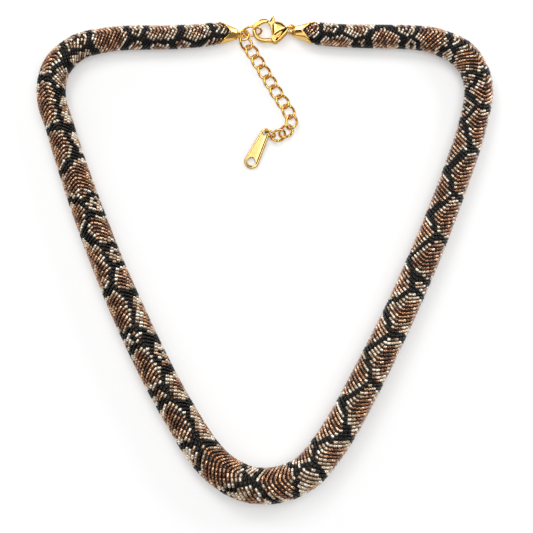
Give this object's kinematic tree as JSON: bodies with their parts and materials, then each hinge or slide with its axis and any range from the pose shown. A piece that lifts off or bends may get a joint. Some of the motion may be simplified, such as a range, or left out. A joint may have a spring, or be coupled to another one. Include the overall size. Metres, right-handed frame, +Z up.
{
  "type": "beaded rope necklace",
  "caption": "Round woven bead rope necklace with a reptile skin pattern, tapered to gold-tone end caps, a lobster clasp and a curb chain extender with a drop tag.",
  "frame": {"origin": "middle of the neck opening, on the surface that the necklace lies on", "axes": "+Z up from the resting surface, +Y towards the clasp, +X to the viewer's right when the clasp is at the top"},
  "size_m": [0.1477, 0.1597, 0.0115],
  "materials": {
    "seed_beads": "glossy metallic glass seed beads in copper brown, black and cream",
    "gold_plate": "polished gold-tone plating"
  },
  "bodies": {
    "necklace": {"bead_rope": "seed_beads", "left_cap": "gold_plate", "right_cap": "gold_plate", "clasp_body": "gold_plate", "clasp_ring": "gold_plate", "chain_ring": "gold_plate", "hook_ring": "gold_plate", "link_01": "gold_plate", "link_02": "gold_plate", "link_03": "gold_plate", "link_04": "gold_plate", "link_05": "gold_plate", "link_06": "gold_plate", "link_07": "gold_plate", "link_08": "gold_plate", "link_09": "gold_plate", "link_10": "gold_plate", "link_11": "gold_plate", "tag_ring": "gold_plate", "tag": "gold_plate"},
    "lever": {"clasp_lever": "gold_plate"}
  },
  "joints": [
    {"name": "lever_pivot", "type": "hinge", "parent": "necklace", "child": "lever", "pos_m": [0.0033, 0.0729, 0.0022], "axis": [0, 0, 1], "range_deg": [-28, 0], "stiffness_Nm_per_rad": 0.0005, "springref_deg": 17.19}
  ]
}
